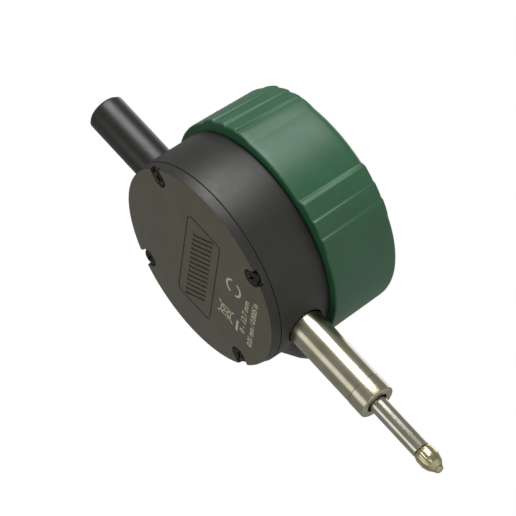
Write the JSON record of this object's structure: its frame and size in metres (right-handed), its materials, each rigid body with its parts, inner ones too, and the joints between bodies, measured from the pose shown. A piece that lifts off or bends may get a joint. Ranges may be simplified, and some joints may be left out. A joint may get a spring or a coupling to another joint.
{
  "type": "dial indicator",
  "caption": "Round electronic dial indicator with a turning display head, a sprung spindle in a clamping stem, push buttons and a battery tray.",
  "frame": {"origin": "on the stem axis, half way along the visible clamping stem", "axes": "+Z along the stem axis from the contact point to the sleeve, +Y out of the back cover, so that the display faces -Y"},
  "size_m": [0.0592, 0.0374, 0.1239],
  "materials": {
    "black_plastic": "satin moulded",
    "cover_plastic": "fine texture",
    "green_plastic": "semi-gloss moulded",
    "dark_plastic": "satin moulded",
    "stainless": "ground and polished",
    "contact_metal": "turned, nickel plated",
    "screw_steel": "black oxide",
    "brass": "turned",
    "copper": "plated",
    "rubber": "moulded",
    "silicone": "moulded",
    "board": "solder mask",
    "lens": "clear window",
    "lcd": "liquid crystal panel",
    "button_plastic": "moulded"
  },
  "bodies": {
    "housing": {"housing": "black_plastic", "back_cover": "cover_plastic", "cover_screw_1": "screw_steel", "cover_screw_2": "screw_steel", "cover_screw_3": "screw_steel", "cover_screw_4": "screw_steel", "stem": "stainless", "sleeve": "black_plastic", "bush_lower": "brass", "bush_upper": "brass", "guide_rail": "dark_plastic", "reader_board": "board", "reader_chip": "dark_plastic", "board_screw_1": "screw_steel", "board_screw_2": "screw_steel", "return_spring": "stainless", "spring_post": "stainless", "cable_coil": "copper", "stop_pin": "stainless", "port_socket": "copper", "drag_ring": "rubber", "spindle_bumper": "rubber", "retaining_ring": "stainless", "ring_screw_1": "screw_steel", "ring_screw_2": "screw_steel", "ring_screw_3": "screw_steel"},
    "spindle": {"spindle": "stainless", "contact_point": "contact_metal", "tip_insert": "stainless", "carrier": "dark_plastic", "carrier_screw": "screw_steel", "scale_strip": "copper", "guide_pin": "stainless"},
    "display_head": {"head_shell": "green_plastic", "face_plate": "dark_plastic", "window_lens": "lens", "lcd_panel": "lcd", "contact_strip": "rubber", "display_board": "board", "display_screw_1": "screw_steel", "display_screw_2": "screw_steel", "display_screw_3": "screw_steel", "button_membrane": "silicone", "battery_contact_minus": "brass", "battery_contact_plus": "brass"},
    "power_button": {"button_power": "button_plastic"},
    "zero_button": {"button_zero": "button_plastic"},
    "unit_button": {"button_unit": "button_plastic"},
    "tray": {"battery_tray": "black_plastic", "coin_cell": "stainless"},
    "port_plug": {"port_cover": "rubber"}
  },
  "joints": [
    {"name": "spindle_slide", "type": "slide", "parent": "housing", "child": "spindle", "axis": [0, 0, 1], "range_m": [0, 0.0127], "stiffness_N_per_m": 25, "springref_m": -0.05, "deforming": ["return_spring"]},
    {"name": "head_turn", "type": "hinge", "parent": "housing", "child": "display_head", "pos_m": [0, -0.0174, 0.04015], "axis": [0, 1, 0], "range_deg": [-135, 135]},
    {"name": "power_press", "type": "slide", "parent": "display_head", "child": "power_button", "axis": [0, 1, 0], "range_m": [0, 0.0005], "stiffness_N_per_m": 900, "springref_m": -0.0006},
    {"name": "zero_press", "type": "slide", "parent": "display_head", "child": "zero_button", "axis": [0, 1, 0], "range_m": [0, 0.0005], "stiffness_N_per_m": 900, "springref_m": -0.0006},
    {"name": "unit_press", "type": "slide", "parent": "display_head", "child": "unit_button", "axis": [0, 1, 0], "range_m": [0, 0.0005], "stiffness_N_per_m": 900, "springref_m": -0.0006},
    {"name": "tray_pull", "type": "slide", "parent": "display_head", "child": "tray", "axis": [0, 0, 1], "range_m": [0, 0.024]},
    {"name": "port_plug_pull", "type": "slide", "parent": "housing", "child": "port_plug", "axis": [0.4226, 0, -0.9063], "range_m": [0, 0.006]}
  ]
}
